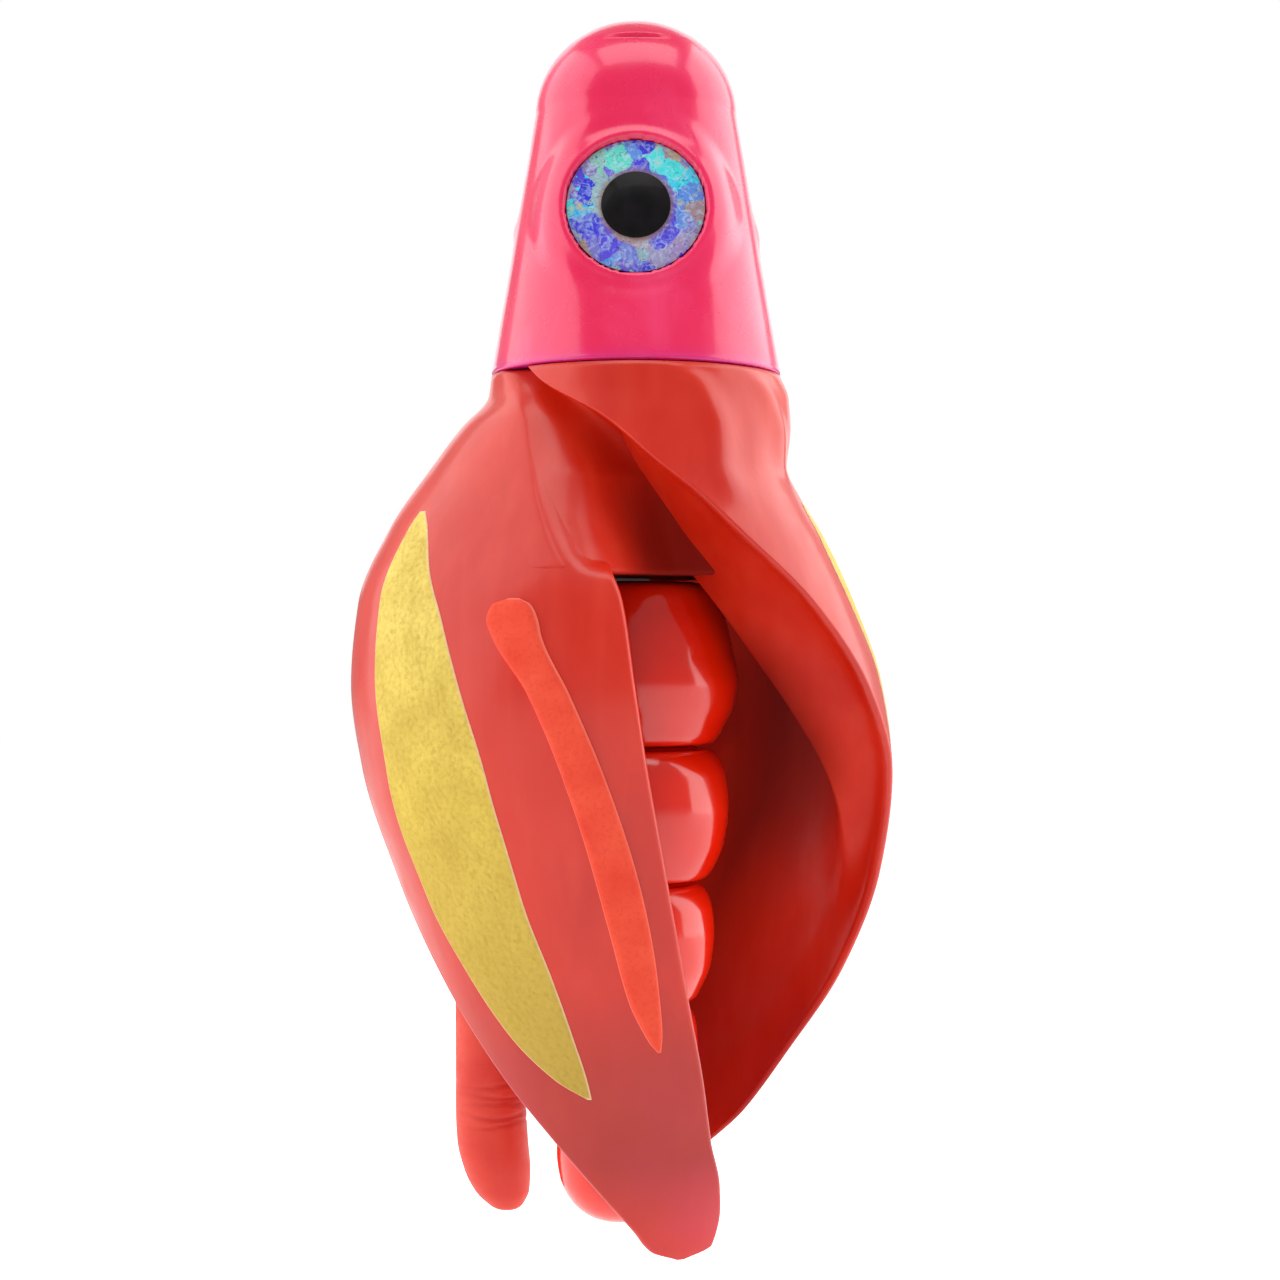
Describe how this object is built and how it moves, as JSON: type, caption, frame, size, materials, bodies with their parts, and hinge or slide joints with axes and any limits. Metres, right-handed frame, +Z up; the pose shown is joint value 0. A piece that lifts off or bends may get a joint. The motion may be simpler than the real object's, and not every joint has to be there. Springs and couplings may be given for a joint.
{
  "type": "creature toy",
  "caption": "Hand toy with a pink eyed head on a swivel, two twisted red shell wings, a beaded tail inside them and one swinging leg.",
  "frame": {"origin": "on the toy's long axis, on the plane where the head's rim meets the neck", "axes": "+Z up the long axis to the crown of the head, -Y out of the front eye, +X to the right of the front view"},
  "size_m": [0.0539, 0.0448, 0.1209],
  "materials": {
    "pink_shell": "glossy moulded",
    "wing_red": "waxy gloss",
    "core_red": "satin",
    "leg_red": "soft matte, creased",
    "bead_orange": "high gloss",
    "yellow_foam": "pebbled foam",
    "red_strip": "fine foam",
    "opal_iris": "opal foil under clear resin",
    "black_pupil": "polished",
    "steel": "plain"
  },
  "bodies": {
    "head": {"head_shell": "pink_shell", "head_plug": "pink_shell", "front_eye_iris": "opal_iris", "front_eye_pupil": "black_pupil", "rear_eye_iris": "opal_iris", "rear_eye_pupil": "black_pupil"},
    "body": {"neck_core": "core_red", "neck_spindle": "steel", "spindle_washer": "steel", "spindle_screw": "steel", "left_wing": "wing_red", "right_wing": "wing_red", "left_yellow_inlay": "yellow_foam", "right_yellow_inlay": "yellow_foam", "left_red_strip": "red_strip", "right_red_strip": "red_strip", "hip_bracket": "core_red", "tail_pin_1": "steel"},
    "leg": {"leg": "leg_red", "leg_pin": "steel"},
    "tail_1": {"tail_bead_1": "bead_orange", "tail_pin_2": "steel"},
    "tail_2": {"tail_bead_2": "bead_orange", "tail_pin_3": "steel"},
    "tail_3": {"tail_bead_3": "bead_orange", "tail_pin_4": "steel"},
    "tail_4": {"tail_bead_4": "bead_orange", "tail_pin_5": "steel"},
    "tail_5": {"tail_bead_5": "bead_orange"}
  },
  "joints": [
    {"name": "head_swivel", "type": "hinge", "parent": "head", "child": "body", "pos_m": [0, 0, 0], "axis": [0, 0, 1], "continuous": true},
    {"name": "bead_1_swing", "type": "hinge", "parent": "body", "child": "tail_1", "pos_m": [0, 0, -0.0172], "axis": [0, 1, 0], "range_deg": [-2, 2]},
    {"name": "bead_2_swing", "type": "hinge", "parent": "tail_1", "child": "tail_2", "pos_m": [0, 0, -0.0336], "axis": [0, 1, 0], "range_deg": [-2, 2]},
    {"name": "bead_3_swing", "type": "hinge", "parent": "tail_2", "child": "tail_3", "pos_m": [0, 0, -0.047], "axis": [0, 1, 0], "range_deg": [-2, 2]},
    {"name": "bead_4_swing", "type": "hinge", "parent": "tail_3", "child": "tail_4", "pos_m": [-0.0002, 0, -0.059], "axis": [0, 1, 0], "range_deg": [-2, 2]},
    {"name": "bead_5_swing", "type": "hinge", "parent": "tail_4", "child": "tail_5", "pos_m": [-0.0007, 0, -0.0693], "axis": [0, 1, 0], "range_deg": [-2, 2]},
    {"name": "leg_swing", "type": "hinge", "parent": "body", "child": "leg", "pos_m": [-0.015, 0.01, -0.0305], "axis": [0.5547, 0.8321, 0], "range_deg": [0, 35]}
  ]
}
